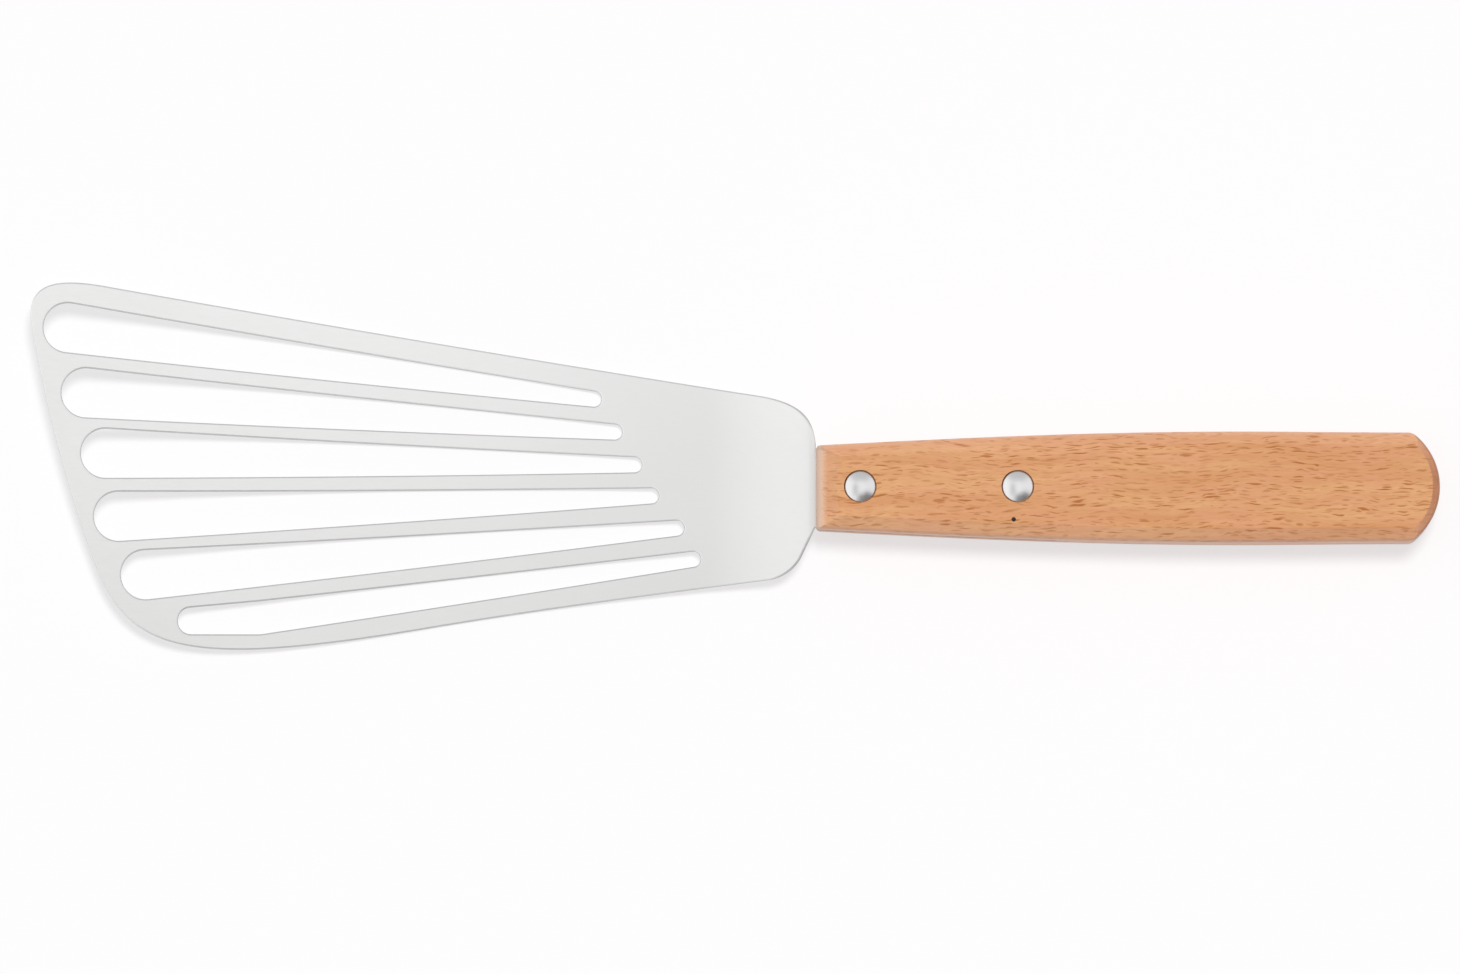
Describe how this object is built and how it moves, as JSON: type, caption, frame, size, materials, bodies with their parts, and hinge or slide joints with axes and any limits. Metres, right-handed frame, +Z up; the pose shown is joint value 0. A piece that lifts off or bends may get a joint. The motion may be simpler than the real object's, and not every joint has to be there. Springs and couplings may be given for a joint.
{
  "type": "slotted turner",
  "caption": "Slotted turner: a thin bowed steel blade with a fan of tapered slots and a cranked heel, its tang riveted in the saw kerf of a one-piece wooden handle.",
  "frame": {"origin": "under the middle of the whole turner's box, on the plane that it rests on", "axes": "+X from the blade's leading edge to the butt, +Y across the blade towards its long corner, +Z up from the resting plane"},
  "size_m": [0.2946, 0.0766, 0.0156],
  "materials": {
    "satin_steel": "fine satin, cut edges a little brighter",
    "beech": "oiled beech with short brown rays",
    "turned_steel": "turned domed crowns, half bright"
  },
  "bodies": {
    "root": {"blade": "satin_steel", "handle": "beech", "front_rivet_post": "turned_steel", "front_rivet_cap": "turned_steel", "rear_rivet_post": "turned_steel", "rear_rivet_cap": "turned_steel"}
  },
  "joints": []
}
